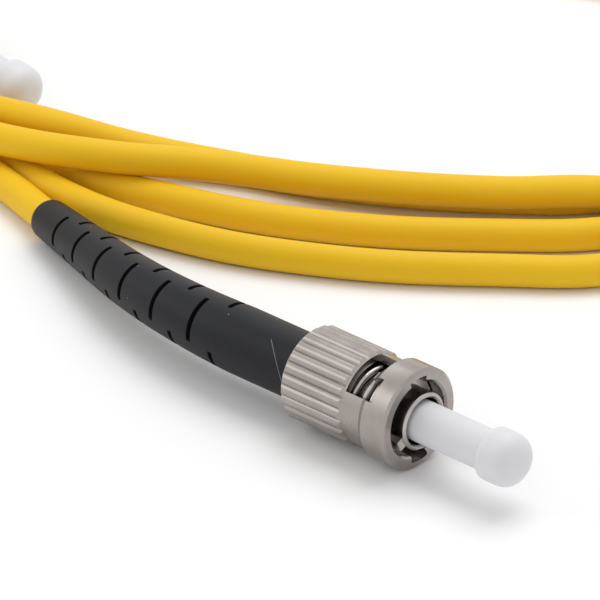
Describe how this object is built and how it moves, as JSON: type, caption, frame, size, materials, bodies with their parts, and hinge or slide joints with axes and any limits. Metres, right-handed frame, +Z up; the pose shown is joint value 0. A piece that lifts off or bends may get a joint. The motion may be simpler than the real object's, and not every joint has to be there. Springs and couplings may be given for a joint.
{
  "type": "fibre optic patch cord",
  "caption": "Simplex fibre patch cord with a bayonet connector on each end, dust caps on, bend boots, and its slim jacketed cord lying in a loose coil.",
  "frame": {"origin": "centre of the near coupling nut's front face, on the ferrule's axis", "axes": "+X along the near ferrule, out of the connector; +Z up from the surface that the cord lies on; +Y towards the coil's far side"},
  "size_m": [0.1597, 0.099, 0.0106],
  "materials": {
    "nickel": "satin nickel plate",
    "steel": "spring steel",
    "ceramic": "polished zirconia",
    "glass_core": "clear",
    "cap": "translucent polyethylene",
    "boot": "matt black",
    "jacket": "smooth yellow",
    "buffer": "smooth white",
    "yarn": "aramid fibre"
  },
  "bodies": {
    "root": {"ferrule": "ceramic", "glass_fibre": "glass_core", "connector_body": "nickel", "retaining_ring": "steel", "buffered_fibre": "buffer", "aramid_yarn": "yarn", "crimp_sleeve": "steel", "bend_boot": "boot", "coupling_spring": "steel", "cord": "jacket", "far_ferrule": "ceramic", "far_glass_fibre": "glass_core", "far_connector_body": "nickel", "far_retaining_ring": "steel", "far_buffered_fibre": "buffer", "far_aramid_yarn": "yarn", "far_crimp_sleeve": "steel", "far_bend_boot": "boot", "far_coupling_spring": "steel"},
    "thrust_washer": {"thrust_washer": "steel"},
    "coupling_nut": {"coupling_nut": "nickel"},
    "dust_cap": {"dust_cap": "cap"},
    "far_thrust_washer": {"far_thrust_washer": "steel"},
    "far_coupling_nut": {"far_coupling_nut": "nickel"},
    "far_dust_cap": {"far_dust_cap": "cap"}
  },
  "joints": [
    {"name": "nut_pull", "type": "slide", "parent": "root", "child": "thrust_washer", "axis": [1, 0, 0], "range_m": [0, 0.0023], "stiffness_N_per_m": 1500, "springref_m": -0.003, "deforming": ["coupling_spring"]},
    {"name": "nut_turn", "type": "hinge", "parent": "thrust_washer", "child": "coupling_nut", "pos_m": [0, 0, 0], "axis": [1, 0, 0], "continuous": true},
    {"name": "cap_pull", "type": "slide", "parent": "root", "child": "dust_cap", "axis": [1, 0, 0], "range_m": [0, 0.008]},
    {"name": "far_nut_pull", "type": "slide", "parent": "root", "child": "far_thrust_washer", "axis": [0.9919, -0.0346, -0.1219], "range_m": [0, 0.0023], "stiffness_N_per_m": 1500, "springref_m": -0.003, "deforming": ["far_coupling_spring"]},
    {"name": "far_nut_turn", "type": "hinge", "parent": "far_thrust_washer", "child": "far_coupling_nut", "pos_m": [-0.0804, 0.0228, -0.00002], "axis": [0.9919, -0.0346, -0.1219], "continuous": true},
    {"name": "far_cap_pull", "type": "slide", "parent": "root", "child": "far_dust_cap", "axis": [0.9919, -0.0346, -0.1219], "range_m": [0, 0.008]}
  ]
}
